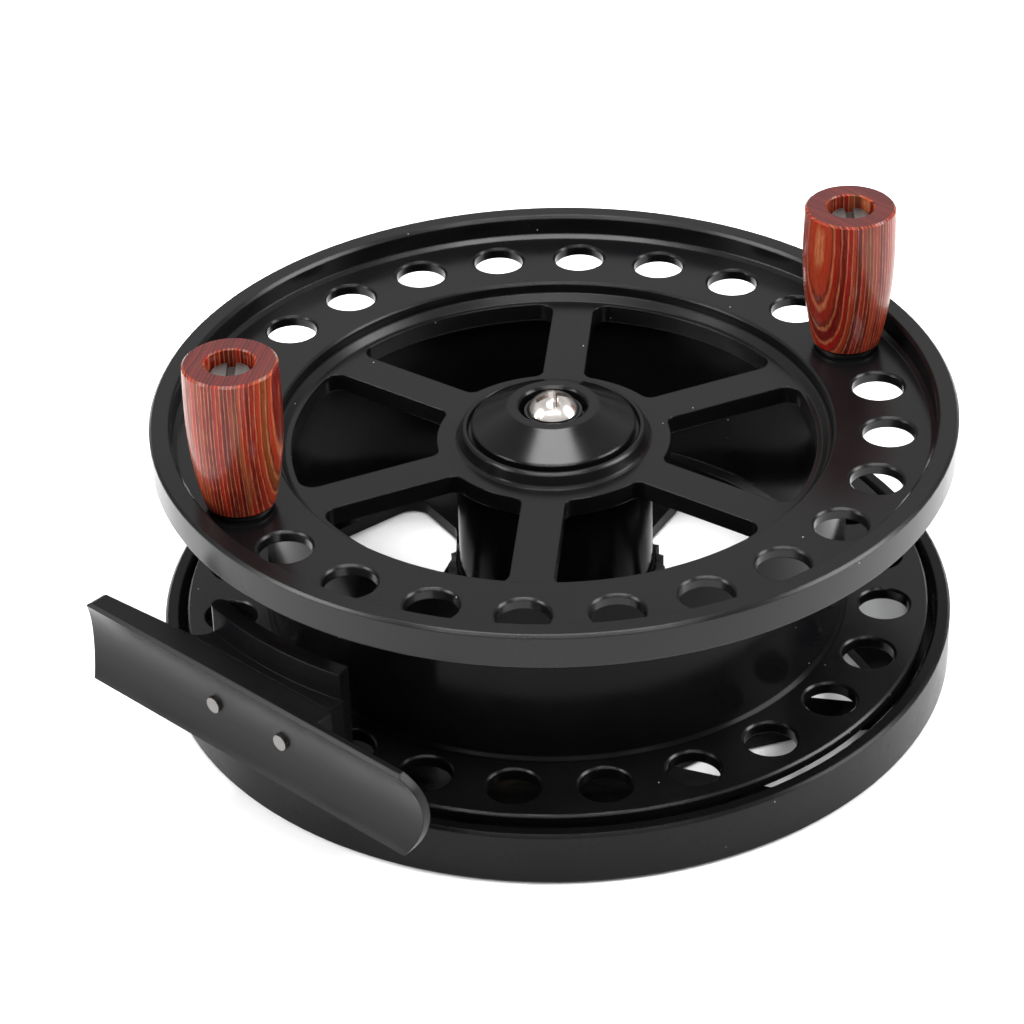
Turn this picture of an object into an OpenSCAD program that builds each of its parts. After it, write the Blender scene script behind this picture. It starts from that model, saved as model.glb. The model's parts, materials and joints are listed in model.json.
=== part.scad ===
// Centrepin style fly reel: an open spool that turns on a fixed spindle
// in front of a lightened back frame. Lengths are in millimetres, +Z is the
// spool axis, and the frame's back face lies on z = 0.

/* [Frame] */
// outside radius of the back frame
frame_r = 57.2; // [50:0.1:65]
// height of the raised frame rim
frame_rim_h = 8.2; // [6:0.1:12]
// wall thickness of the frame rim
frame_rim_wall = 2.3; // [1.8:0.1:4]
// thickness of the back plate
plate_t = 2; // [1.6:0.1:4]
// radius of the central boss
boss_r = 11; // [9:0.1:13]
// height of the central boss above the back face
boss_h = 8.4; // [7:0.1:9]

/* [Spool] */
// outside radius of the front rim
spool_r = 57; // [50:0.1:65]
// height of the top of the front rim above the back face
spool_top = 40.7; // [36:0.1:46]
// depth of the front rim
rim_depth = 5.2; // [4:0.1:8]
// width of the front rim's flat top
rim_w = 3.1; // [2:0.1:5]
// depth of the front flange below the rim top
flange_drop = 3.6; // [2:0.1:5]
// outside radius of the line drum
drum_r = 41.7; // [34:0.1:45]
// wall thickness of the line drum
drum_wall = 2.2; // [1.6:0.1:4]
// outside radius of the rear flange
rear_r = 53.9; // [48:0.1:56]
// height of the rear flange's front face
rear_top = 9; // [8.6:0.1:9.6]
// thickness of the rear flange
rear_t = 1.8; // [1.4:0.1:2.4]

/* [Flange holes] */
// number of places in each ring of holes
hole_count = 24; // [12:2:30]
// radius of the hole circle
hole_ring_r = 47.3; // [44:0.1:50]
// radius of one hole
hole_r = 3.7; // [2.5:0.05:4.5]
// width of the edge break round a hole
hole_chamfer = 0.3; // [0.1:0.05:0.5]

/* [Spider] */
// number of spokes
spoke_count = 6; // [3:1:8]
// width of one spoke
spoke_w = 6; // [4:0.1:10]
// thickness of the spokes
spider_t = 2.7; // [2:0.1:4]
// depth of the spokes below the rim top
spider_drop = 6; // [5:0.1:8]
// inner radius of the spoke windows
window_in = 16.6; // [15:0.1:20]
// outer radius of the spoke windows
window_out = 37.3; // [32:0.1:38]
// radius of the hub barrel
barrel_r = 14; // [13:0.1:16]

/* [Handles] */
// angle of the first handle about the spool axis
handle_angle = 24.7; // [0:0.1:90]
// length of one handle
handle_h = 22; // [16:0.1:26]
// largest radius of one handle
handle_r = 6.65; // [5:0.05:8]

/* [Foot] */
// direction the foot faces, about the spool axis
foot_angle = 227.8; // [180:0.1:270]
// distance from the spool axis to the foot's front edges
foot_d = 63; // [62:0.1:68]
// width of the foot along the spool axis
foot_w = 13.4; // [10:0.1:14]
// height of the middle of the foot above the back face
foot_mid = 18.9; // [16:0.05:20]
// depth of the rod trough
trough_depth = 2; // [1:0.1:2.4]
// height of the top of the curved bracket wall
wall_top = 29.7; // [26:0.1:31]

/* [Bearings] */
// bore radius of both ball bearings
bearing_in = 3; // [2.5:0.5:3]
// outside radius of both ball bearings
bearing_out = 6.5; // [6:0.5:7]
// width of both ball bearings
bearing_w = 5; // [4:0.5:5]

/* [Click] */
// number of teeth on the click wheel
tooth_count = 36; // [24:4:60]
// outside radius of the click wheel
tooth_r = 15.8; // [15:0.1:17]

/* [Hidden] */
$fn = 96;

black = [0.07, 0.07, 0.075];
dark_steel = [0.3, 0.3, 0.31];
steel = [0.72, 0.72, 0.74];
brass = [0.72, 0.56, 0.26];
wood = [0.66, 0.3, 0.2];

press = 0.02;
running = 0.05;
tiny = 0.01;

flange_z = spool_top - flange_drop;
flange_under = spool_top - rim_depth;
spider_z = spool_top - spider_drop;
spider_under = spider_z - spider_t;
spider_r = drum_r - drum_wall - press;
hub_top = spider_z + 2;
hub_floor = hub_top - 0.8;

rear_bearing_z = 11.5;
front_bearing_z = 31.5;
spindle_top = front_bearing_z + bearing_w - 0.1;
washer_z = front_bearing_z + bearing_w;
washer_t = 2.7;
screw_z = washer_z + washer_t;
barrel_z = 10.5;
wheel_t = 2;

post_base = flange_z;
handle_z = flange_z + 0.9;
handle_top = handle_z + handle_h;
grip_peak = 15;
sink_r = 3.4;
sink_floor = handle_top - 3.4;
post_top = sink_floor + 0.2;

frame_in = frame_r - frame_rim_wall;
foot_low = foot_mid - foot_w / 2;
foot_high = foot_mid + foot_w / 2;
trough_r = (pow(foot_w / 2, 2) + pow(trough_depth, 2)) / (2 * trough_depth);
trough_d = foot_d - trough_depth + trough_r;
block_half = 12.2;
block_d = 58.5;
block_fillet = 2.6;
pin_x = [7.3, -5.5];
pin_z = foot_mid - 0.35;
pin_r = 1.15;
blade_t = 1.3;
dowel_r = 0.6;

click_pivot = [-10, -22];
spring_at = [-20, -26.5];
pawl_z = barrel_z + 0.1;
pawl_t = 1.8;
spring_z = pawl_z - 0.2;
lever_rest = 190;
click_throw = 14;
pawl_rest = 24;
tooth_phase = 7;

// ---- plain shapes shared by the parts ----

function unit(v) = v / norm(v);
function left_of(v) = [-v[1], v[0]];
function rim_point(r, a) = [r * cos(a), r * sin(a)];
function turned(v, a) = [v[0] * cos(a) - v[1] * sin(a), v[0] * sin(a) + v[1] * cos(a)];

// centre of the corner circle at vertex i of a convex polygon, listed anticlockwise
function corner_centre(p, i, r) =
    let (n = len(p),
         a = unit(p[i] - p[(i + n - 1) % n]),
         b = unit(p[(i + 1) % n] - p[i]),
         na = left_of(a),
         nb = left_of(b))
    p[i] + (na + nb) * r / (1 + na * nb);

// convex polygon with every corner rounded to radius r
module rounded_polygon(p, r) {
    n = len(p);
    polygon([for (i = [0 : n - 1])
        for (j = [(i + n - 1) % n, i])
            corner_centre(p, i, r) - left_of(unit(p[(j + 1) % n] - p[j])) * (r - tiny)]);
    for (i = [0 : n - 1])
        translate(corner_centre(p, i, r))
            circle(r);
}

module ring(r_out, r_in, h) {
    difference() {
        cylinder(r = r_out, h = h);
        translate([0, 0, -1])
            cylinder(r = r_in, h = h + 2);
    }
}

// moves its children to the foot: x runs along the foot, y away from the spool
module at_foot() {
    rotate([0, 0, foot_angle - 90])
        children();
}

module at_handle(side) {
    rotate([0, 0, handle_angle + 180 * side])
        translate([hole_ring_r, 0, 0])
            children();
}

// ---- back frame ----

window_right = [[39.5, 21], [25.5, 37.1], [21.5, 37], [14.6, 24.5],
    [14.2, 18.5], [20.5, 3.5], [39.3, 4]];
window_left = [[-21.5, 35.2], [-39.5, 21], [-39.3, 4], [-20.5, 3.5], [-15.2, 19.5], [-15.2, 25.5]];
window_top = [[13.5, 44], [-13.5, 44], [-8, 22], [8, 22]];
window_side = [[50.4, 13.5], [43.2, 12.5], [42.6, -3.6], [45.7, -6.7],
    [50.2, -10.7], [52, -5.5], [52.4, 4]];
window_low = [[40.3, -2.2], [22.5, -2.2], [24, -17], [47.6, -21.6], [45.8, -14]];
window_corner = [[45.2, -24.2], [33.5, -26.2], [20, -30.4], [14.6, -34.2], [32, -40.9], [38.5, -35.2]];
window_west = [[-22.5, -2.2], [-41, -2.2], [-43, -14], [-26, -14]];

module frame_windows() {
    translate([0, 0, -1])
        linear_extrude(plate_t + 2) {
            rounded_polygon(window_right, 3);
            rounded_polygon(window_left, 3);
            rounded_polygon(window_top, 3);
            rounded_polygon(window_side, 1);
            rounded_polygon(window_low, 2);
            rounded_polygon(window_corner, 0.8);
            rounded_polygon(window_west, 3);
        }
}

module frame_body() {
    rotate_extrude()
        polygon([
            [0, 0],
            [0, 3],
            [4 + press, 3],
            [4 + press, boss_h],
            [boss_r - 0.5, boss_h],
            [boss_r, boss_h - 0.5],
            [boss_r, plate_t + 0.8],
            [boss_r + 0.8, plate_t],
            [frame_in, plate_t],
            [frame_in, frame_rim_h - 0.5],
            [frame_in + 0.5, frame_rim_h],
            [frame_r - 0.4, frame_rim_h],
            [frame_r, frame_rim_h - 0.4],
            [frame_r, 0.4],
            [frame_r - 0.4, 0]]);
}

// raised posts that carry the click shaft and its spring
module click_posts() {
    translate([click_pivot[0], click_pivot[1], plate_t - 0.5])
        cylinder(r = 3.2, h = pawl_z - plate_t + 0.2);
    translate([spring_at[0], spring_at[1], plate_t - 0.5])
        cylinder(r = 2.6, h = spring_z - plate_t + 0.5);
}

module frame() {
    color(black)
        difference() {
            union() {
                frame_body();
                click_posts();
            }
            frame_windows();
            lever_pocket();
            translate([click_pivot[0], click_pivot[1], -1])
                cylinder(r = 1.5 + running, h = 20);
            translate([spring_at[0], spring_at[1], spring_z - 5])
                cylinder(r = 0.8 + press, h = 10);
            bracket_dowel_shapes(dowel_r + press);
            spindle_screw_shapes(0.8 + press);
        }
}

// shallow pocket in the back face where the click lever swings
module lever_pocket() {
    first = lever_rest - 2;
    last = lever_rest + click_throw + 2;
    translate([click_pivot[0], click_pivot[1], -1])
        linear_extrude(2.2) {
            circle(3.3);
            polygon([
                turned([0, -2.1], first),
                turned([12, -2.1], first),
                turned([12.2, 0], first),
                turned([12.2, 0], last),
                turned([12, 2.1], last),
                turned([0, 2.1], last)]);
        }
}

// ---- foot and its bracket ----

// flat outline of the curved wall that rises from the frame rim
module wall_outline() {
    mid_r = (frame_in + frame_r) / 2;
    end_r = (frame_r - frame_in) / 2;
    half_angle = asin((block_half - 0.2) / frame_r);
    difference() {
        intersection() {
            circle(frame_r);
            polygon([[0, 0],
                rim_point(2 * frame_r, 90 - half_angle),
                rim_point(2 * frame_r, 90 + half_angle)]);
        }
        circle(frame_in);
    }
    translate(rim_point(mid_r, 90 - half_angle))
        circle(end_r + tiny);
}

// flat outline of the block between wall and foot, with its fillet at one side
module block_outline() {
    polygon(concat(
        [[block_half, 50], [-block_half, 50], [-block_half, block_d]],
        [for (a = [90 : 15 : 180])
            [block_half + block_fillet, block_d - block_fillet]
                + block_fillet * [cos(a), sin(a)]]));
}

module foot_bracket() {
    color(black)
        at_foot()
            difference() {
                union() {
                    translate([0, 0, frame_rim_h + tiny])
                        linear_extrude(wall_top - frame_rim_h - tiny)
                            wall_outline();
                    translate([0, 0, foot_low])
                        linear_extrude(foot_w)
                            difference() {
                                block_outline();
                                circle(frame_r - 0.3);
                            }
                }
                foot_pin_shapes(pin_r + press, 52);
                rotate([0, 0, 90 - foot_angle])
                    bracket_dowel_shapes(dowel_r + press);
            }
}

module bracket_dowel_shapes(r) {
    mid_r = (frame_in + frame_r) / 2;
    for (a = [-8, 8])
        rotate([0, 0, foot_angle + a])
            translate([mid_r, 0, frame_rim_h - 4])
                cylinder(r = r, h = 8);
}

module bracket_dowels() {
    color(steel)
        bracket_dowel_shapes(dowel_r);
}

module foot_pin_shapes(r, from_d) {
    for (x = pin_x)
        translate([x, from_d, pin_z])
            rotate([-90, 0, 0])
                cylinder(r = r, h = foot_d - trough_depth + 0.5 - from_d);
}

module foot_pins() {
    color(steel)
        at_foot()
            foot_pin_shapes(pin_r, 56);
}

// the foot seen from above, thickest where it meets the bracket block
module foot_plan() {
    polygon([
        [35, foot_d],
        [35, foot_d - 3.1],
        [block_half + block_fillet, block_d + tiny],
        [-block_half, block_d + tiny],
        [-block_half - block_fillet, block_d + 0.6],
        [-33, block_d + 0.6],
        [-33, foot_d]]);
}

// cuts a foot end to the arc of a circle of radius r centred at x
module end_cutter(x, r, from_x, to_x) {
    difference() {
        translate([from_x, -1])
            square([to_x - from_x, foot_w + 2]);
        translate([x, foot_w / 2])
            circle(r);
    }
}

// the foot seen from the front, round at one end and nearly square at the other
module foot_front() {
    w = foot_w;
    difference() {
        polygon([
            [-32.5, 0],
            [29.9, 0],
            [30.8, 0.5],
            [31.3, 1.2],
            [33, 5],
            [33, w - 5],
            [31.3, w - 1.2],
            [30.8, w - 0.5],
            [29.9, w],
            [-32.5, w]]);
        end_cutter(-21.8, 9.7, -40, -20);
        end_cutter(16.9, 15, 24.9, 42);
    }
}

// round bar as wide as the rod trough's curve, with its radius raised by extra
module trough(extra) {
    translate([-50, trough_d, foot_mid])
        rotate([0, 90, 0])
            cylinder(r = trough_r + extra, h = 100, $fn = 180);
}

module foot() {
    edge = 0.8;
    color(black)
        at_foot()
            difference() {
                intersection() {
                    translate([0, 0, foot_low - 1])
                        linear_extrude(foot_w + 2)
                            foot_plan();
                    translate([0, 80, foot_low])
                        rotate([90, 0, 0])
                            linear_extrude(40)
                                foot_front();
                    union() {
                        trough(blade_t);
                        translate([-block_half - 0.9, 50, 0])
                            cube([60, 20, 40]);
                    }
                }
                trough(0);
                for (z = [foot_low, foot_high])
                    translate([-50, foot_d, z])
                        rotate([45, 0, 0])
                            translate([0, -edge * sqrt(0.5), -edge * sqrt(0.5)])
                                cube([100, edge * sqrt(2), edge * sqrt(2)]);
                foot_pin_shapes(pin_r + press, 50);
            }
}

// ---- spindle and bearings ----

module spindle() {
    color(steel)
        difference() {
            rotate_extrude()
                polygon([
                    [0, 3 + tiny],
                    [0, 24],
                    [1.5, 25],
                    [1.5, spindle_top],
                    [2.6, spindle_top],
                    [bearing_in, spindle_top - 0.4],
                    [bearing_in, rear_bearing_z],
                    [4.1, rear_bearing_z],
                    [4.1, boss_h + 1.8],
                    [4.7, boss_h + 1.2],
                    [8.8, boss_h + 1.2],
                    [9, boss_h + 1],
                    [9, boss_h + tiny],
                    [4, boss_h + tiny],
                    [4, 3 + tiny]]);
            spindle_screw_shapes(0.8 + press);
            for (i = [0 : 2])
                rotate([0, 0, 30 + i * 120])
                    translate([6.6, 0, boss_h + 0.2])
                        cylinder(r1 = 0.8, r2 = 2, h = 1.2);
        }
}

module spindle_screw_shapes(r) {
    for (i = [0 : 2])
        rotate([0, 0, 30 + i * 120])
            translate([6.6, 0, boss_h - 4])
                cylinder(r = r, h = 4.8);
}

// three countersunk screws that hold the spindle's flange to the boss
module spindle_screws() {
    color(steel) {
        spindle_screw_shapes(0.8);
        for (i = [0 : 2])
            rotate([0, 0, 30 + i * 120])
                translate([6.6, 0, boss_h + 0.5])
                    difference() {
                        cylinder(r1 = 0.9, r2 = 1.55, h = 0.65);
                        translate([-2, -0.2, 0.35])
                            cube([4, 0.4, 1]);
                    }
    }
}

module bearing_inner(z) {
    mid = bearing_w / 2;
    translate([0, 0, z])
        rotate_extrude()
            difference() {
                polygon([
                    [bearing_in + press, 0],
                    [bearing_in + press, bearing_w],
                    [4.1, bearing_w],
                    [4.1, 0]]);
                translate([4.75, mid])
                    circle(1.02);
            }
}

module bearing_outer(z) {
    mid = bearing_w / 2;
    translate([0, 0, z])
        rotate_extrude()
            difference() {
                polygon([
                    [5.4, 0],
                    [5.4, bearing_w],
                    [bearing_out - 0.2, bearing_w],
                    [bearing_out, bearing_w - 0.2],
                    [bearing_out, 0.2],
                    [bearing_out - 0.2, 0]]);
                translate([4.75, mid])
                    circle(1.02);
            }
}

module bearing_balls(z) {
    translate([0, 0, z + bearing_w / 2]) {
        for (i = [0 : 8])
            rotate([0, 0, i * 40])
                translate([4.75, 0, 0])
                    sphere(r = 1, $fn = 48);
        translate([0, 0, -0.35])
            ring(5.1, 4.4, 0.7);
    }
}

module rear_bearing_inner() {
    color(steel)
        bearing_inner(rear_bearing_z);
}

module front_bearing_inner() {
    color(steel)
        bearing_inner(front_bearing_z);
}

module rear_bearing_outer() {
    color(steel)
        bearing_outer(rear_bearing_z);
}

module front_bearing_outer() {
    color(steel)
        bearing_outer(front_bearing_z);
}

module rear_bearing_balls() {
    color(brass)
        bearing_balls(rear_bearing_z);
}

module front_bearing_balls() {
    color(brass)
        bearing_balls(front_bearing_z);
}

module bearing_spacer() {
    low = rear_bearing_z + bearing_w;
    color(steel)
        translate([0, 0, low])
            ring(4.1, bearing_in + press, front_bearing_z - low);
}

// snap ring that holds the rear bearing in the barrel
module bearing_clip() {
    color(dark_steel)
        translate([0, 0, barrel_z + 0.2])
            difference() {
                ring(6.9, 5.5, 0.7);
                translate([5, -1, -1])
                    cube([3, 2, 3]);
            }
}

module centre_washer() {
    color(steel)
        translate([0, 0, washer_z])
            ring(4.1, 1.6, washer_t - tiny);
}

module centre_screw() {
    head_r = 3.7;
    color(steel)
        difference() {
            union() {
                translate([0, 0, screw_z])
                    rotate_extrude()
                        intersection() {
                            translate([0, -1.65])
                                circle(4.15);
                            polygon([
                                [0, 0],
                                [head_r - 0.2, 0],
                                [head_r, 0.2],
                                [head_r, 3],
                                [0, 3]]);
                        }
                translate([0, 0, 27])
                    cylinder(r = 1.48, h = screw_z - 27 + tiny);
            }
            translate([0, 0, screw_z])
                cross_recess();
        }
}

module cross_recess() {
    intersection() {
        union()
            for (a = [0, 90])
                rotate([0, 0, a + 12])
                    translate([-2.4, -0.5, 0.6])
                        cube([4.8, 1, 3]);
        translate([0, 0, 0.6])
            cylinder(r1 = 1.8, r2 = 3.4, h = 2.2);
    }
}

// ---- spool ----

module hub_barrel() {
    color(black)
        rotate_extrude()
            polygon([
                [bearing_out + press, barrel_z],
                [bearing_out + press, barrel_z + 0.1],
                [7, barrel_z + 0.1],
                [7, barrel_z + 1],
                [bearing_out + press, barrel_z + 1],
                [bearing_out + press, rear_bearing_z + bearing_w],
                [5.4, rear_bearing_z + bearing_w],
                [5.4, rear_bearing_z + bearing_w + 1.2],
                [8, rear_bearing_z + bearing_w + 1.2],
                [8, 29],
                [9 + press, 29],
                [9 + press, spider_under],
                [barrel_r, spider_under],
                [barrel_r, barrel_z + wheel_t + 1.4],
                [barrel_r + 0.4, barrel_z + wheel_t + 1.4],
                [barrel_r + 0.6, barrel_z + wheel_t + 1.2],
                [barrel_r + 0.6, barrel_z + wheel_t],
                [12, barrel_z + wheel_t],
                [12, barrel_z]]);
}

module click_wheel() {
    pitch = 360 / tooth_count;
    root_r = tooth_r - 1.3;
    color(dark_steel)
        translate([0, 0, barrel_z])
            linear_extrude(wheel_t - tiny)
                difference() {
                    polygon([for (i = [0 : tooth_count - 1])
                        for (s = [0, 1, 2])
                            rim_point(s == 1 ? tooth_r : root_r,
                                i * pitch + pitch * (s - 1) * 0.42 + tooth_phase)]);
                    circle(12 + press);
                }
}

module drum() {
    in_r = drum_r - drum_wall;
    color(black)
        rotate_extrude()
            polygon([
                [in_r, rear_top],
                [in_r, spider_under - 0.9],
                [in_r - 0.9, spider_under - 0.9],
                [in_r - 0.9, spider_under],
                [in_r, spider_under],
                [in_r, flange_under],
                [drum_r, flange_under],
                [drum_r, rear_top + 0.6],
                [drum_r + 0.6, rear_top]]);
}

module rear_flange() {
    in_r = drum_r - drum_wall;
    color(black)
        difference() {
            rotate_extrude()
                polygon([
                    [in_r, rear_top - rear_t],
                    [in_r, rear_top - tiny],
                    [rear_r - 0.3, rear_top - tiny],
                    [rear_r, rear_top - 0.3],
                    [rear_r, rear_top - rear_t + 0.3],
                    [rear_r - 0.3, rear_top - rear_t]]);
            for (i = [0 : hole_count - 1])
                rotate([0, 0, handle_angle - 2.3 + i * 360 / hole_count])
                    translate([hole_ring_r + 0.3, 0, 0])
                        flange_hole(rear_top - rear_t, rear_top);
        }
}

// a through hole with a broken top edge, between two heights
module flange_hole(low, high) {
    translate([0, 0, low - 1])
        cylinder(r = hole_r, h = high - low + 2);
    translate([0, 0, high - hole_chamfer])
        cylinder(r1 = hole_r, r2 = hole_r + 2 * hole_chamfer, h = 2 * hole_chamfer);
}

module front_flange() {
    rim_in = spool_r - rim_w;
    in_r = drum_r - drum_wall;
    half = hole_count / 2;
    color(black)
        difference() {
            rotate_extrude()
                polygon([
                    [in_r, flange_under],
                    [in_r, flange_z - 0.3],
                    [in_r + 0.3, flange_z],
                    [rim_in - 0.7, flange_z],
                    [rim_in, flange_z + 0.5],
                    [rim_in, spool_top - 0.5],
                    [rim_in + 0.4, spool_top],
                    [spool_r - 0.4, spool_top],
                    [spool_r, spool_top - 0.4],
                    [spool_r, flange_under + 0.3],
                    [spool_r - 0.3, flange_under]]);
            for (i = [0 : hole_count - 1])
                if (i % half != 0)
                    rotate([0, 0, handle_angle + i * 360 / hole_count])
                        translate([hole_ring_r, 0, 0])
                            flange_hole(flange_under, flange_z);
            for (side = [0, 1])
                at_handle(side)
                    translate([0, 0, flange_under - 1])
                        cylinder(r = 2 + press, h = 5);
        }
}

// one spoke window, between the spokes at angle 0 and at one pitch
module spoke_window() {
    pitch = 360 / spoke_count;
    round_out = 2.2;
    round_in = 1.6;
    off_out = spoke_w / 2 + round_out;
    off_in = spoke_w / 2 + round_in;
    run_out = sqrt(pow(window_out - round_out, 2) - off_out * off_out);
    run_in = sqrt(pow(window_in + round_in, 2) - off_in * off_in);
    lean_out = atan(off_out / run_out);
    lean_in = atan(off_in / run_in);
    difference() {
        intersection() {
            circle(window_out, $fn = 180);
            union() {
                polygon([
                    rim_point(window_in - 3, lean_in),
                    [run_in, off_in],
                    [run_in, spoke_w / 2],
                    [run_out, spoke_w / 2],
                    [run_out, off_out],
                    rim_point(window_out + 3, lean_out),
                    rim_point(window_out + 3, pitch / 2) * 1.2,
                    rim_point(window_out + 3, pitch - lean_out),
                    turned([run_out, -off_out], pitch),
                    turned([run_out, -spoke_w / 2], pitch),
                    turned([run_in, -spoke_w / 2], pitch),
                    turned([run_in, -off_in], pitch),
                    rim_point(window_in - 3, pitch - lean_in)]);
                for (p = [[run_out, off_out, round_out], [run_in, off_in, round_in]]) {
                    translate([p[0], p[1]])
                        circle(p[2]);
                    translate(turned([p[0], -p[1]], pitch))
                        circle(p[2]);
                }
            }
        }
        circle(window_in);
    }
}

module front_spider() {
    color(black)
        difference() {
            rotate_extrude()
                polygon([
                    [5.4, 29],
                    [5.4, front_bearing_z],
                    [bearing_out + press, front_bearing_z],
                    [bearing_out + press, hub_floor],
                    [12.2, hub_floor],
                    [12.2, hub_top - 0.2],
                    [12.4, hub_top],
                    [12.8, hub_top],
                    [13.1, hub_top - 0.3],
                    [13.6, spider_z + 0.3],
                    [14, spider_z],
                    [spider_r - 1.4, spider_z],
                    [spider_r - 0.5, spider_z + 0.9],
                    [spider_r, spider_z + 0.9],
                    [spider_r, spider_under],
                    [9, spider_under],
                    [9, 29]]);
            translate([0, 0, spider_under - 1])
                linear_extrude(spider_t + 4)
                    for (i = [0 : spoke_count - 1])
                        rotate(handle_angle + i * 360 / spoke_count)
                            spoke_window();
        }
}

module cone_cap() {
    color(black)
        rotate_extrude()
            polygon([
                [bearing_out + 0.1, hub_floor],
                [bearing_out + 0.1, washer_z],
                [4.8, washer_z],
                [4.8, spool_top - 1],
                [5.1, spool_top - 0.7],
                [6.5, spool_top - 0.7],
                [6.8, spool_top - 0.85],
                [11.5, spool_top - 3.4],
                [11.7, spool_top - 3.6],
                [11.7, hub_floor]]);
}

// ---- handles ----

module handle_post() {
    color(dark_steel)
        difference() {
            union() {
                translate([0, 0, flange_under - 0.9])
                    cylinder(r = 3, h = 0.9);
                translate([0, 0, flange_under - tiny])
                    cylinder(r = 2, h = post_top - flange_under + tiny);
                translate([0, 0, post_base])
                    cylinder(r = 4.2, h = 0.4);
            }
            translate([0, 0, post_top - 7])
                cylinder(r = 1.2 + press, h = 8);
        }
}

module handle_washer() {
    color(dark_steel)
        translate([0, 0, post_base + 0.4 + tiny])
            ring(4.6, 2 + press, 0.4);
}

module handle_screw() {
    color(steel)
        difference() {
            union() {
                translate([0, 0, post_top + tiny])
                    cylinder(r1 = 3, r2 = 2.7, h = 1.5);
                translate([0, 0, post_top - 6])
                    cylinder(r = 1.2, h = 6.1);
            }
            rotate([0, 0, 90 - handle_angle])
                translate([-4, -0.6, post_top + 0.7])
                    cube([8, 1.2, 2]);
        }
}

// circle whose widest point lies on the grip's outline at height peak
module grip_curve(r) {
    translate([handle_r - r, grip_peak])
        circle(r, $fn = 360);
}

module handle_grip() {
    color(wood)
        translate([0, 0, handle_z])
            rotate_extrude()
                difference() {
                    intersection() {
                        union() {
                            grip_curve(64);
                            intersection() {
                                grip_curve(160);
                                translate([0, grip_peak])
                                    square([20, 20]);
                            }
                        }
                        polygon([
                            [2 + running, 0],
                            [4.5, 0],
                            [7.5, 2.3],
                            [7.5, handle_h - 1.3],
                            [6.2, handle_h],
                            [2 + running, handle_h]]);
                    }
                    polygon([
                        [1, sink_floor - handle_z],
                        [sink_r, sink_floor - handle_z],
                        [sink_r, handle_h - 0.2],
                        [sink_r + 0.3, handle_h + 0.1],
                        [1, handle_h + 0.1]]);
                }
}

module handle_post_a() {
    at_handle(0)
        handle_post();
}

module handle_post_b() {
    at_handle(1)
        handle_post();
}

module handle_washer_a() {
    at_handle(0)
        handle_washer();
}

module handle_washer_b() {
    at_handle(1)
        handle_washer();
}

module handle_screw_a() {
    at_handle(0)
        handle_screw();
}

module handle_screw_b() {
    at_handle(1)
        handle_screw();
}

module handle_a() {
    at_handle(0)
        handle_grip();
}

module handle_b() {
    at_handle(1)
        handle_grip();
}

// ---- click ----

module click_shaft() {
    color(steel)
        translate([click_pivot[0], click_pivot[1], 0.3])
            cylinder(r = 1.5, h = pawl_z + pawl_t);
}

// flat piece of the click: a collar on the shaft with one tapered arm
module click_arm(length, root, tip, angle) {
    difference() {
        union() {
            circle(3);
            rotate(angle)
                polygon([
                    [0, -root],
                    [length - tip, -tip],
                    [length, 0],
                    [length - tip, tip],
                    [0, root]]);
        }
        circle(1.5 + press);
    }
}

// tongue that a turn of the shaft swings into the teeth of the click wheel
module click_pawl() {
    color(brass)
        translate([click_pivot[0], click_pivot[1], pawl_z + tiny])
            linear_extrude(pawl_t)
                click_arm(11, 2, 0.4, pawl_rest);
}

module click_lever() {
    color(black)
        translate([click_pivot[0], click_pivot[1], 0.2])
            linear_extrude(0.9)
                click_arm(11.3, 1.5, 1, lever_rest);
}

// flat spring whose free end lies beside the pawl
module click_spring() {
    color(steel)
        translate([spring_at[0], spring_at[1], spring_z + 0.3 + tiny])
            linear_extrude(1) {
                difference() {
                    circle(2.4);
                    circle(0.8 + press);
                }
                polygon([
                    [0.9, 1.3],
                    [8.7, 7.9],
                    [10.7, 8.8],
                    [10.5, 9.3],
                    [8.3, 8.5],
                    [0.2, 2]]);
            }
}

module spring_screw() {
    color(steel)
        translate([spring_at[0], spring_at[1], 0]) {
            translate([0, 0, spring_z - 4.5])
                cylinder(r = 0.8, h = 5.9);
            translate([0, 0, spring_z + 1.3 + 2 * tiny])
                cylinder(r = 1.7, h = 1);
        }
}

frame();
foot_bracket();
bracket_dowels();
foot();
foot_pins();
spindle();
spindle_screws();
rear_bearing_inner();
front_bearing_inner();
bearing_spacer();
centre_washer();
centre_screw();
rear_bearing_outer();
front_bearing_outer();
bearing_clip();
rear_bearing_balls();
front_bearing_balls();
hub_barrel();
click_wheel();
drum();
rear_flange();
front_flange();
front_spider();
cone_cap();
handle_post_a();
handle_post_b();
handle_washer_a();
handle_washer_b();
handle_screw_a();
handle_screw_b();
handle_a();
handle_b();
click_shaft();
click_pawl();
click_lever();
click_spring();
spring_screw();
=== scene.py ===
import json
import math

import bpy
from mathutils import Matrix, Vector

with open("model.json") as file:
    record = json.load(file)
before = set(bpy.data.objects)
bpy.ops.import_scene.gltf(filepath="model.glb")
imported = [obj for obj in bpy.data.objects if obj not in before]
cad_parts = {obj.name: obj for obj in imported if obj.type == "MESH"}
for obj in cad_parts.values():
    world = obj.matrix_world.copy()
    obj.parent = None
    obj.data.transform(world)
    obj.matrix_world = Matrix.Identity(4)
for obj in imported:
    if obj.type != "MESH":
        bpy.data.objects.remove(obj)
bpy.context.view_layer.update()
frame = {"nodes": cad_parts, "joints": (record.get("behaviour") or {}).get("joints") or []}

MM = 0.001
PER_METRE = 1000.0


# ---- node helpers ----


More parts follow.
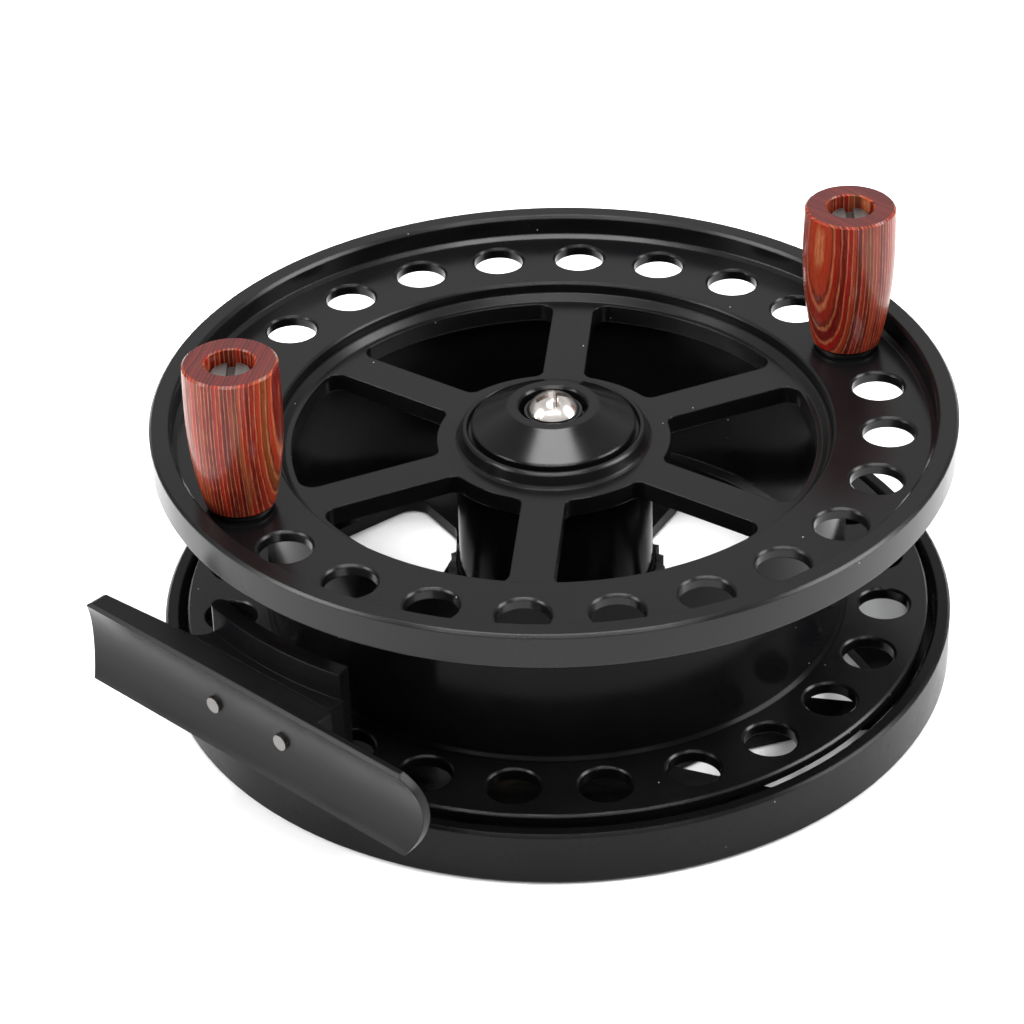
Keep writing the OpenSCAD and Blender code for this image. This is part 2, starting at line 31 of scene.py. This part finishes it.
class Tree:
    """Short calls for building one material's nodes."""

    def __init__(self, name):
        self.material = bpy.data.materials.new(name)
        self.material.use_nodes = True
        self.nodes = self.material.node_tree.nodes
        self.links = self.material.node_tree.links
        self.nodes.clear()
        self.output = self.add("ShaderNodeOutputMaterial")
        self.shader = self.add("ShaderNodeBsdfPrincipled")
        self.links.new(self.shader.outputs[0], self.output.inputs["Surface"])

    def add(self, kind, **settings):
        node = self.nodes.new(kind)
        for key, value in settings.items():
            setattr(node, key, value)
        return node

    def plug(self, value, socket):
        """Links a node's output to the socket, or sets the socket to a plain value."""
        if isinstance(value, bpy.types.NodeSocket):
            self.links.new(value, socket)
        elif value is not None:
            socket.default_value = value

    def math(self, operation, a, b=None, clamp=False):
        node = self.add("ShaderNodeMath", operation=operation, use_clamp=clamp)
        self.plug(a, node.inputs[0])
        self.plug(b, node.inputs[1])
        return node.outputs[0]

    def vector(self, operation, a, b=None, scale=None):
        node = self.add("ShaderNodeVectorMath", operation=operation)
        self.plug(a, node.inputs[0])
        self.plug(b, node.inputs[1])
        self.plug(scale, node.inputs[3])
        gives_number = operation in ("LENGTH", "DOT_PRODUCT")
        return node.outputs["Value" if gives_number else "Vector"]

    def join(self, x, y, z):
        node = self.add("ShaderNodeCombineXYZ")
        for value, socket in zip((x, y, z), node.inputs):
            self.plug(value, socket)
        return node.outputs[0]

    def split(self, vector):
        node = self.add("ShaderNodeSeparateXYZ")
        self.plug(vector, node.inputs[0])
        return node.outputs

    def millimetres(self, centre=(0, 0, 0)):
        """The point's place in millimetres from centre, which is in metres."""
        coords = self.add("ShaderNodeTexCoord").outputs["Object"]
        moved = self.vector("SUBTRACT", coords, centre)
        return self.vector("SCALE", moved, scale=PER_METRE)

    def noise(self, vector, scale=1.0, detail=2.0, roughness=0.5):
        """Noise that varies about scale times per unit of vector."""
        node = self.add("ShaderNodeTexNoise")
        self.plug(vector, node.inputs["Vector"])
        node.inputs["Scale"].default_value = scale
        node.inputs["Detail"].default_value = detail
        node.inputs["Roughness"].default_value = roughness
        return node.outputs["Fac"]

    def span(self, value, low, high, to_low, to_high):
        """Maps low..high onto to_low..to_high in a straight line, and clamps."""
        node = self.add("ShaderNodeMapRange")
        for number, socket in zip((value, low, high, to_low, to_high), node.inputs):
            self.plug(number, socket)
        return node.outputs[0]

    def steps(self, value, stops):
        """The colour of the last stop at or below value."""
        node = self.add("ShaderNodeValToRGB")
        band = node.color_ramp
        band.interpolation = "CONSTANT"
        while len(band.elements) < len(stops):
            band.elements.new(1.0)
        for element, (place, colour) in zip(band.elements, stops):
            element.position = place
            element.color = (*colour, 1)
        self.plug(value, node.inputs[0])
        return node.outputs[0]

    def mix(self, amount, a, b):
        """Colour a, turning into colour b as amount goes from 0 to 1."""
        node = self.add("ShaderNodeMix", data_type="RGBA")
        self.plug(amount, node.inputs[0])
        for colour, socket in ((a, node.inputs[6]), (b, node.inputs[7])):
            self.plug((*colour, 1) if isinstance(colour, tuple) else colour, socket)
        return node.outputs[2]

    def bump(self, height, strength, distance, under=None):
        """A bumped normal, on top of the normal given as under."""
        node = self.add("ShaderNodeBump")
        node.inputs["Strength"].default_value = strength
        node.inputs["Distance"].default_value = distance
        self.plug(height, node.inputs["Height"])
        self.plug(under, node.inputs["Normal"])
        return node.outputs[0]

    def soft_edges(self, radius):
        """A normal that rounds the mesh's sharp edges off."""
        node = self.add("ShaderNodeBevel", samples=4)
        node.inputs["Radius"].default_value = radius
        return node.outputs[0]

    def set(self, **values):
        """Sets the shader's sockets, named with _ for a space."""
        for key, value in values.items():
            name = key.replace("_", " ")
            if isinstance(value, tuple) and len(value) == 3:
                value = (*value, 1)
            self.plug(value, self.shader.inputs[name])


def dust_specks(t, place, share):
    """1 on sparse dust specks, else 0. share is how many of the cells hold one."""
    cell_size = 2.2
    speck_radius = 0.045
    cells = t.add("ShaderNodeTexVoronoi", feature="F1")
    t.plug(place, cells.inputs["Vector"])
    cells.inputs["Scale"].default_value = 1 / cell_size
    near = t.math("LESS_THAN", cells.outputs["Distance"], speck_radius)
    chance = t.split(cells.outputs["Color"])[0]
    return t.math("MULTIPLY", near, t.math("LESS_THAN", chance, share))


# ---- metals ----


def anodised(name, rough, shine, lathe=0.0, dust=0.12):
    """Black anodised aluminium with a fine grain and a little dust.

    lathe is the strength of the lines that turning leaves, and dust the share of
    the surface's cells that hold a speck.
    """
    deep_black = (0.0018, 0.0018, 0.0021)
    worn_black = (0.0040, 0.0038, 0.0041)
    dust_grey = (0.3, 0.29, 0.28)
    t = Tree(name)
    place = t.millimetres()
    grain = t.noise(place, 9.0, 3.0, 0.6)
    cloud = t.noise(place, 0.11, 4.0, 0.6)
    normal = t.bump(grain, 0.06, 0.01 * MM, t.soft_edges(0.3 * MM))
    if lathe:
        x, y, z = t.split(place)
        radius = t.vector("LENGTH", t.join(x, y, 0.0))
        profile = t.join(radius, t.math("MULTIPLY", z, 0.7), 0.0)
        normal = t.bump(t.noise(profile, 5.5, 4.0, 0.7), lathe, 0.012 * MM, normal)
    base = t.mix(cloud, deep_black, worn_black)
    base = t.mix(dust_specks(t, place, dust), base, dust_grey)
    gloss = t.span(cloud, 0.3, 0.7, rough - 0.04, rough + 0.05)
    gloss = t.math("ADD", gloss, t.math("MULTIPLY", grain, 0.03))
    t.set(Base_Color=base, Roughness=gloss, Normal=normal)
    t.set(Specular_IOR_Level=shine, IOR=1.5)
    return t.material


def machined(name, colour, rough, centre=(0, 0, 0), lines=14.0):
    """Bare metal turned about an upright axis through centre.

    lines is about how many of the lathe's ridges there are per mm.
    """
    shadow = tuple(c * 0.72 for c in colour)
    t = Tree(name)
    place = t.millimetres(centre)
    x, y, z = t.split(place)
    radius = t.vector("LENGTH", t.join(x, y, 0.0))
    ridges = t.noise(t.join(radius, z, 0.0), lines, 3.0, 0.6)
    cloud = t.noise(place, 1.3, 3.0, 0.6)
    t.set(Base_Color=t.mix(t.span(cloud, 0.3, 0.75, 0.8, 1.1), shadow, colour))
    t.set(Metallic=1.0)
    t.set(Roughness=t.span(ridges, 0.3, 0.7, rough - 0.06, rough + 0.08))
    t.set(Normal=t.bump(ridges, 0.16, 0.01 * MM))
    return t.material


# ---- laminated wood ----

LAYER = 0.54  # thickness of one veneer in mm

VENEER_DYES = [
    (0.00, (0.085, 0.0025, 0.002)),
    (0.20, (0.15, 0.007, 0.003)),
    (0.38, (0.19, 0.017, 0.005)),
    (0.52, (0.06, 0.0022, 0.002)),
    (0.68, (0.11, 0.026, 0.006)),
    (0.78, (0.17, 0.005, 0.003)),
    (0.92, (0.21, 0.055, 0.015)),
]
TAN_WOOD = (0.29, 0.10, 0.04)
GLUE_LINE = (0.055, 0.009, 0.006)
PALE_FIBRE = (0.28, 0.075, 0.03)
DARK_PORE = (0.035, 0.004, 0.003)
BROWN_PATCH = (0.13, 0.05, 0.017)
SAWN_END = (0.038, 0.008, 0.010)


def laminate(name, centre, facing, first_layer):
    """Dyed veneers glued face to face and varnished.

    facing is the layers' normal, in degrees about +Z. first_layer says where in the
    stack of layers, which is the same one for every piece, this piece is cut.
    """
    t = Tree(name)
    place = t.millimetres(centre)
    z = t.split(place)[2]
    across = (math.cos(math.radians(facing)), math.sin(math.radians(facing)), 0.0)
    along = (-across[1], across[0], 0.0)
    depth = t.vector("DOT_PRODUCT", place, across)
    side = t.vector("DOT_PRODUCT", place, along)

    def stretched(over_depth, over_side, over_z):
        """The place with each of the veneers' own directions scaled."""
        return t.join(
            t.math("MULTIPLY", depth, over_depth),
            t.math("MULTIPLY", side, over_side),
            t.math("MULTIPLY", z, over_z),
        )

    # the layers bend slowly and ripple a little along the handle
    bend = t.noise(stretched(0.2, 0.14, 0.045), detail=1.0)
    ripple = t.noise(stretched(1.4, 1.1, 0.3))
    shift = t.math("ADD", t.math("MULTIPLY", bend, 1.5), t.math("MULTIPLY", ripple, 0.32))
    level = t.math("ADD", t.math("DIVIDE", depth, LAYER), t.math("ADD", shift, first_layer))
    pick = t.add("ShaderNodeTexWhiteNoise", noise_dimensions="1D")
    t.plug(t.math("FLOOR", level), pick.inputs["W"])
    base = t.steps(pick.outputs["Value"], VENEER_DYES)

    # each layer has a tan line within it and dark glue at both faces
    within = t.math("FRACT", level)
    tan_starts = t.span(within, 0.60, 0.72, 0.0, 1.0)
    tan_ends = t.span(within, 0.84, 0.94, 1.0, 0.0)
    glue_below = t.span(within, 0.06, 0.16, 1.0, 0.0)
    glue_above = t.span(within, 0.92, 0.98, 0.0, 1.0)
    tan_line = t.math("MULTIPLY", tan_starts, tan_ends)
    glue = t.math("ADD", glue_below, glue_above, clamp=True)

    # the wood itself: long fibres, dark pores and broad brown patches
    fibre = t.noise(stretched(4.5, 4.5, 0.3), detail=3.0, roughness=0.6)
    pores = t.noise(stretched(13.0, 13.0, 0.9), roughness=0.6)
    patches = t.noise(stretched(0.5, 0.35, 0.05))
    tan_share = t.math("MULTIPLY", tan_line, t.span(fibre, 0.34, 0.64, 0.25, 0.9))
    base = t.mix(tan_share, base, TAN_WOOD)
    base = t.mix(t.math("MULTIPLY", glue, 0.8), base, GLUE_LINE)
    base = t.mix(t.span(fibre, 0.54, 0.8, 0.0, 0.45), base, PALE_FIBRE)
    base = t.mix(t.span(pores, 0.46, 0.28, 0.0, 0.75), base, DARK_PORE)
    base = t.mix(t.span(patches, 0.52, 0.7, 0.0, 0.45), base, BROWN_PATCH)

    # the sawn ends, where the fibres stand on end, are duller and more purple
    upright = t.split(t.add("ShaderNodeNewGeometry").outputs["Normal"])[2]
    base = t.mix(t.span(upright, 0.8, 0.95, 0.0, 0.78), base, SAWN_END)

    relief = t.math("ADD", fibre, t.math("MULTIPLY", pores, 0.5))
    t.set(Base_Color=base, Normal=t.bump(relief, 0.18, 0.05 * MM))
    t.set(Roughness=t.span(fibre, 0.3, 0.7, 0.46, 0.34))
    t.set(IOR=1.45, Specular_IOR_Level=0.15)
    t.set(Coat_Weight=0.25, Coat_Roughness=0.13, Coat_IOR=1.45)
    return t.material


# ---- dressing the CAD nodes ----


def post_place(joint_name):
    """The x and y of a handle's axis, at height 0."""
    joint = next(j for j in frame["joints"] if j["name"] == joint_name)
    return (joint["pos_m"][0], joint["pos_m"][1], 0.0)


post_a = post_place("handle_a_spin")
post_b = post_place("handle_b_spin")

frame_black = anodised("anodised_frame", rough=0.24, shine=0.1, lathe=0.105)
spool_black = anodised("anodised_spool", rough=0.22, shine=0.21, lathe=0.135)
drum_black = anodised("anodised_drum", rough=0.15, shine=0.05, lathe=0.06, dust=0.05)
cone_black = anodised("anodised_cone", rough=0.16, shine=0.19, lathe=0.54, dust=0.04)
bracket_black = anodised("anodised_bracket", rough=0.18, shine=0.06)
foot_black = anodised("anodised_foot", rough=0.3, shine=0.13)

# painted shade: the handle screws' steel is a dark grey, where the other steels are pale, so
# that it stands in for the shade inside the handles' sinks
sink_shade_steel = (0.2, 0.19, 0.18)
bearing_metal = machined("ground_steel", (0.62, 0.62, 0.63), 0.2)
machined_steel = machined("machined_steel", (0.56, 0.56, 0.57), 0.3)
screw_steel = machined("screw_steel", (0.62, 0.58, 0.55), 0.2)
pin_steel = machined("pin_steel", (0.15, 0.145, 0.14), 0.36, lines=5.0)
blackened = machined("blackened_steel", (0.05, 0.05, 0.05), 0.4)
brass = machined("brass", (0.60, 0.42, 0.16), 0.3)

finishes = {
    "frame": frame_black,
    "foot_bracket": bracket_black,
    "foot": foot_black,
    "bracket_dowels": machined_steel,
    "foot_pins": pin_steel,
    "spindle": machined_steel,
    "spindle_screws": machined_steel,
    "rear_bearing_inner": bearing_metal,
    "front_bearing_inner": bearing_metal,
    "rear_bearing_outer": bearing_metal,
    "front_bearing_outer": bearing_metal,
    "rear_bearing_balls": bearing_metal,
    "front_bearing_balls": bearing_metal,
    "bearing_spacer": machined_steel,
    "bearing_clip": blackened,
    "centre_washer": blackened,
    "centre_screw": screw_steel,
    "hub_barrel": drum_black,
    "click_wheel": blackened,
    "drum": drum_black,
    "rear_flange": spool_black,
    "front_flange": spool_black,
    "front_spider": spool_black,
    "cone_cap": cone_black,
    "handle_post_a": blackened,
    "handle_post_b": blackened,
    "handle_washer_a": blackened,
    "handle_washer_b": blackened,
    # painted shade: the handle screws get the darkened steel that stands in for the shade in
    # their sinks
    "handle_screw_a": machined("screw_steel_a_sink_shade", sink_shade_steel, 0.34, post_a),
    "handle_screw_b": machined("screw_steel_b_sink_shade", sink_shade_steel, 0.34, post_b),
    "handle_a": laminate("laminate_a", post_a, facing=224.0, first_layer=40.35),
    "handle_b": laminate("laminate_b", post_b, facing=-13.0, first_layer=43.2),
    "click_shaft": machined_steel,
    "click_pawl": brass,
    "click_lever": bracket_black,
    "click_spring": machined_steel,
    "spring_screw": machined_steel,
}
for node, material in finishes.items():
    mesh = frame["nodes"][node].data
    mesh.materials.clear()
    mesh.materials.append(material)


# ---- floor, light and camera ----


def floor_white():
    """Matt white with clouds too faint to see as a pattern."""
    white = (0.93, 0.93, 0.93)
    t = Tree("floor_white")
    cloud = t.noise(t.millimetres(), 0.02, 3.0)
    t.set(Base_Color=t.mix(cloud, white, tuple(c * 0.985 for c in white)))
    t.set(Roughness=0.7, Specular_IOR_Level=0.2)
    return t.material


def make_floor():
    half = 3.0
    gap = 0.2 * MM
    mesh = bpy.data.meshes.new("floor")
    corners = [(-half, -half, 0), (half, -half, 0), (half, half, 0), (-half, half, 0)]
    mesh.from_pydata(corners, [], [(0, 1, 2, 3)])
    mesh.materials.append(floor_white())
    floor = bpy.data.objects.new("floor", mesh)
    floor.location.z = -gap
    bpy.context.scene.collection.objects.link(floor)


def softbox(name, place, width, height, power):
    """A rectangular light of the given watts, turned to face the middle of the reel."""
    middle = Vector((0, 0, 30 * MM))
    data = bpy.data.lights.new(name, "AREA")
    data.shape = "RECTANGLE"
    data.size = width
    data.size_y = height
    data.energy = power
    lamp = bpy.data.objects.new(name, data)
    bpy.context.scene.collection.objects.link(lamp)
    lamp.location = place
    lamp.rotation_mode = "QUATERNION"
    lamp.rotation_quaternion = (Vector(place) - middle).to_track_quat("Z", "Y")


def light_studio():
    softbox("light_left", (-0.75, -0.25, 0.42), 0.35, 0.6, 9.0)
    softbox("light_right", (0.75, -0.05, 0.40), 0.35, 0.6, 9.0)
    softbox("light_top", (0.0, 0.05, 0.95), 0.5, 0.35, 11.0)
    softbox("light_edge", (0.0, -0.52, 0.83), 0.9, 0.06, 4.0)


def surround_studio():
    """Pale walls that show as soft reflections, brightest 30 to 40 degrees up.

    Each grey has its height as the sine of the angle above the floor.
    """
    greys = [(0.0, 0.25), (0.25, 0.28), (0.48, 0.9), (0.66, 0.85), (1.0, 0.45)]
    world = bpy.data.worlds.new("studio")
    bpy.context.scene.world = world
    world.use_nodes = True
    nodes, links = world.node_tree.nodes, world.node_tree.links
    nodes.clear()
    out = nodes.new("ShaderNodeOutputWorld")
    back = nodes.new("ShaderNodeBackground")
    coords = nodes.new("ShaderNodeTexCoord")
    split = nodes.new("ShaderNodeSeparateXYZ")
    ramp = nodes.new("ShaderNodeValToRGB")
    while len(ramp.color_ramp.elements) < len(greys):
        ramp.color_ramp.elements.new(1.0)
    for element, (height, grey) in zip(ramp.color_ramp.elements, greys):
        element.position = height
        element.color = (grey, grey, grey, 1)
    links.new(coords.outputs["Generated"], split.inputs[0])
    links.new(split.outputs["Z"], ramp.inputs[0])
    links.new(ramp.outputs[0], back.inputs["Color"])
    links.new(back.outputs[0], out.inputs["Surface"])


def turn_pair(a, b, angle):
    """The unit vectors a and b turned by angle degrees, a towards b."""
    c, s = math.cos(math.radians(angle)), math.sin(math.radians(angle))
    return a * c + b * s, b * c - a * s


def make_camera():
    """The photograph's view: seen from the front, 32 degrees up, slightly turned off aim."""
    distance = 482.8 * MM
    elevation = math.radians(31.81)
    target = Vector((0.87, 0, 40.7)) * MM
    yaw, pitch, roll = -0.827, -1.857, -1.169

    back = Vector((0, -math.cos(elevation), math.sin(elevation)))
    place = target + back * distance
    right, ahead = Vector((1, 0, 0)), -back
    up = right.cross(ahead)
    ahead, right = turn_pair(ahead, right, yaw)
    ahead, up = turn_pair(ahead, up, pitch)
    right, up = turn_pair(right, up, roll)

    data = bpy.data.cameras.new("camera")
    data.sensor_width = 36.0
    data.lens = 120.2
    data.clip_start = 0.02
    data.clip_end = 20.0
    camera = bpy.data.objects.new("camera", data)
    facing = Matrix((right, up, -ahead)).transposed().to_4x4()
    camera.matrix_world = Matrix.Translation(place) @ facing
    bpy.context.scene.collection.objects.link(camera)
    bpy.context.scene.camera = camera


make_floor()
light_studio()
surround_studio()
make_camera()
bpy.context.scene.view_settings.view_transform = "Standard"
bpy.context.scene.view_settings.look = "None"
